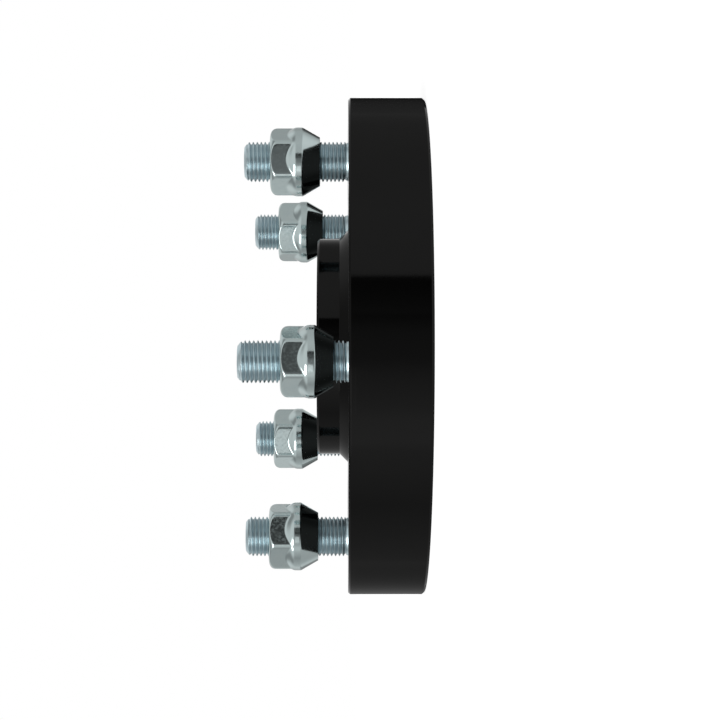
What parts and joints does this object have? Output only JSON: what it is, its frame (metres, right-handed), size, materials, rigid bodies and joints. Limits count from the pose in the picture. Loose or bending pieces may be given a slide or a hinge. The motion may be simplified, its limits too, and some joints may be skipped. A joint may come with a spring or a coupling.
{
  "type": "wheel spacer",
  "caption": "Black anodised disc that moves a road wheel outwards, with a centring spigot, a hub bore, pressed-in wheel studs, cone-seat lug nuts and sunk holes for the hub's studs.",
  "frame": {"origin": "centre of the hub face, the flat back of the disc", "axes": "+Z along the wheel axis from the hub towards the wheel, +X through the first wheel stud"},
  "size_m": [0.1634, 0.1634, 0.0578],
  "materials": {
    "black_anodised": "semi-gloss black anodised",
    "zinc_stud": "bright zinc plated",
    "bright_nut": "bright plated"
  },
  "bodies": {
    "root": {"spacer_body": "black_anodised", "wheel_stud_1": "zinc_stud", "wheel_stud_2": "zinc_stud", "wheel_stud_3": "zinc_stud", "wheel_stud_4": "zinc_stud", "wheel_stud_5": "zinc_stud", "lug_nut_1": "bright_nut", "lug_nut_2": "bright_nut", "lug_nut_3": "bright_nut", "lug_nut_4": "bright_nut", "lug_nut_5": "bright_nut"}
  },
  "joints": []
}
